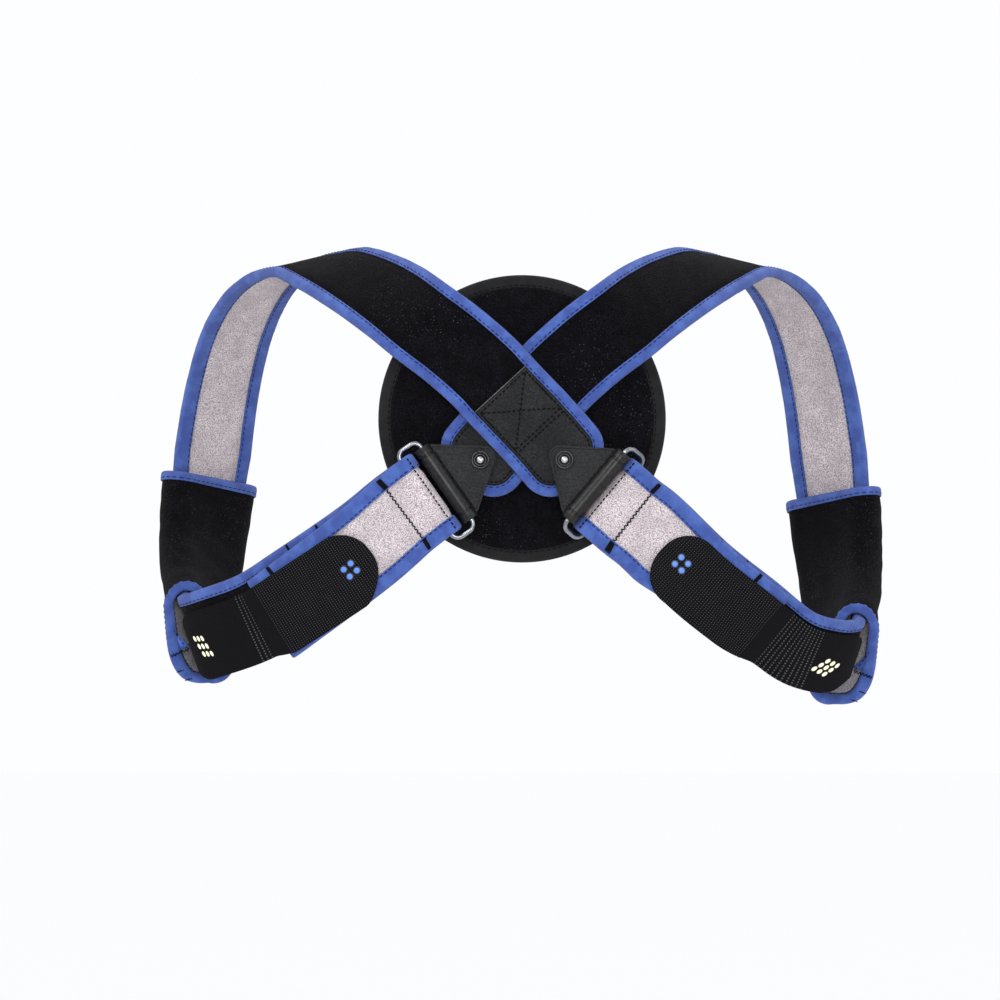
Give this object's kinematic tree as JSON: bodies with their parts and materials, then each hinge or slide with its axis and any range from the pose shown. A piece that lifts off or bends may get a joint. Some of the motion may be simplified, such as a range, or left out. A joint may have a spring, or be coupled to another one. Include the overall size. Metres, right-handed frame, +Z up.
{
  "type": "clavicle_brace",
  "caption": "Figure-of-eight clavicle brace: round back pad, two crossed padded shoulder loops with bound edges, underarm sleeves, clips, rings and closure tabs",
  "frame": {"origin": "middle of the back pad's body-side face, which rests on the wearer's back", "axes": "+X to the right as seen from behind the wearer, +Y from the back to the front of the wearer, +Z up"},
  "size_m": [0.437, 0.1949, 0.2712],
  "materials": {
    "velour": "matte pile",
    "pad_tape": "matte knit",
    "blue_tape": "matte knit",
    "leatherette": "satin grain",
    "moulding": "pebbled",
    "nickel_wire": "polished",
    "black_rivet": "satin black",
    "webbing": "woven"
  },
  "bodies": {
    "root": {"back_pad": "velour", "back_pad_edging": "pad_tape", "left_strap": "velour", "left_strap_binding": "blue_tape", "left_strap_end_facing": "leatherette", "left_closure": "webbing", "left_underarm_sleeve": "velour", "left_sleeve_back_edging": "blue_tape", "left_sleeve_front_edging": "blue_tape", "left_clip": "moulding", "left_ring": "nickel_wire", "left_rivet": "black_rivet", "right_strap": "velour", "right_strap_binding": "blue_tape", "right_strap_end_facing": "leatherette", "right_closure": "webbing", "right_underarm_sleeve": "velour", "right_sleeve_back_edging": "blue_tape", "right_sleeve_front_edging": "blue_tape", "right_clip": "moulding", "right_ring": "nickel_wire", "right_rivet": "black_rivet"}
  },
  "joints": []
}
